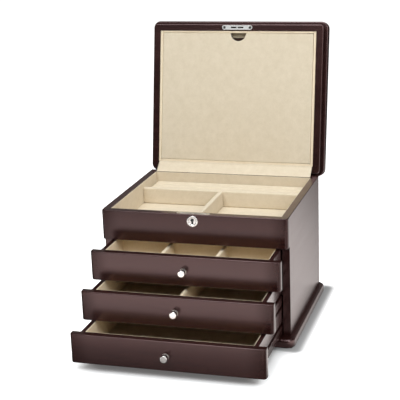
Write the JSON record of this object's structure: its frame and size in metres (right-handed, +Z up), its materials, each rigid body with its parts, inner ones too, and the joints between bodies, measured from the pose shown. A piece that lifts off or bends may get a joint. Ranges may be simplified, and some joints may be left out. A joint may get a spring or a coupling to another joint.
{
  "type": "jewellery chest",
  "caption": "Locking wooden jewellery chest: hinged lid with a drop-down lined panel, lined top well with ring rolls, and knobbed drawers below.",
  "frame": {"origin": "on the floor under the middle of the carcase, in the face that the chest rests on", "axes": "+X to the chest's right as seen from the front, +Y to the back, +Z up"},
  "size_m": [0.348, 0.5584, 0.5056],
  "materials": {
    "wood": "dark espresso lacquer",
    "inner_wood": "stained, satin",
    "lining": "cream suede cloth",
    "felt": "felt",
    "nickel": "polished nickel",
    "steel": "plain steel",
    "brass": "satin brass"
  },
  "bodies": {
    "chest": {"base_plinth": "wood", "base_felt": "felt", "bottom_board": "inner_wood", "side_panel_left": "wood", "side_panel_right": "wood", "back_panel": "wood", "front_panel": "wood", "well_floor_board": "inner_wood", "drawer_runners": "inner_wood", "well_lining_walls": "lining", "well_lining_floor": "lining", "well_divider_long": "lining", "well_divider_mid": "lining", "ring_rolls": "lining", "lock_top_plate": "nickel", "lock_plate_screws": "nickel", "lock_case": "steel", "lock_post": "steel", "lock_escutcheon": "nickel", "hinge_body_leaves": "brass", "hinge_pins": "brass", "hinge_body_screws": "brass", "hinge_flap": "lining"},
    "lid": {"hinge_lid_leaves": "brass", "hinge_lid_screws": "brass", "lid_frame": "wood", "lid_top": "wood", "lid_lining": "lining", "lid_recess_lining": "lining", "lid_strike_plate": "nickel", "lid_strike_screws": "nickel", "lid_panel_pivots": "steel", "lid_panel_stops": "inner_wood", "lid_catch_magnets": "steel", "necklace_rail": "inner_wood", "necklace_hooks": "brass"},
    "lid_panel": {"lid_panel": "lining", "panel_catch_discs": "steel"},
    "lock_claw": {"lock_claw": "steel"},
    "drawer_top": {"drawer_top_front": "wood", "drawer_top_sides": "wood", "drawer_top_back": "inner_wood", "drawer_top_bottom": "inner_wood", "drawer_top_lining": "lining", "drawer_top_knob": "nickel", "drawer_top_dividers": "lining"},
    "drawer_middle": {"drawer_middle_front": "wood", "drawer_middle_sides": "wood", "drawer_middle_back": "inner_wood", "drawer_middle_bottom": "inner_wood", "drawer_middle_lining": "lining", "drawer_middle_knob": "nickel", "drawer_middle_dividers": "lining"},
    "drawer_bottom": {"drawer_bottom_front": "wood", "drawer_bottom_sides": "wood", "drawer_bottom_back": "inner_wood", "drawer_bottom_bottom": "inner_wood", "drawer_bottom_lining": "lining", "drawer_bottom_knob": "nickel"}
  },
  "joints": [
    {"name": "lid_hinge", "type": "hinge", "parent": "chest", "child": "lid", "pos_m": [0, 0.14175, 0.2275], "axis": [-1, 0, 0], "range_deg": [-100.9, 0], "deforming": ["hinge_flap"]},
    {"name": "lid_panel_hinge", "type": "hinge", "parent": "lid", "child": "lid_panel", "pos_m": [0, 0.14929, 0.24973], "axis": [1, 0, 0], "range_deg": [0, 75]},
    {"name": "lock_turn", "type": "hinge", "parent": "chest", "child": "lock_claw", "pos_m": [0, -0.13265, 0.2173], "axis": [0, -1, 0], "range_deg": [0, 90]},
    {"name": "drawer_top_slide", "type": "slide", "parent": "chest", "child": "drawer_top", "axis": [0, -1, 0], "range_m": [-0.0625, 0.1425]},
    {"name": "drawer_middle_slide", "type": "slide", "parent": "chest", "child": "drawer_middle", "axis": [0, -1, 0], "range_m": [-0.115, 0.09]},
    {"name": "drawer_bottom_slide", "type": "slide", "parent": "chest", "child": "drawer_bottom", "axis": [0, -1, 0], "range_m": [-0.1715, 0.0335]}
  ]
}
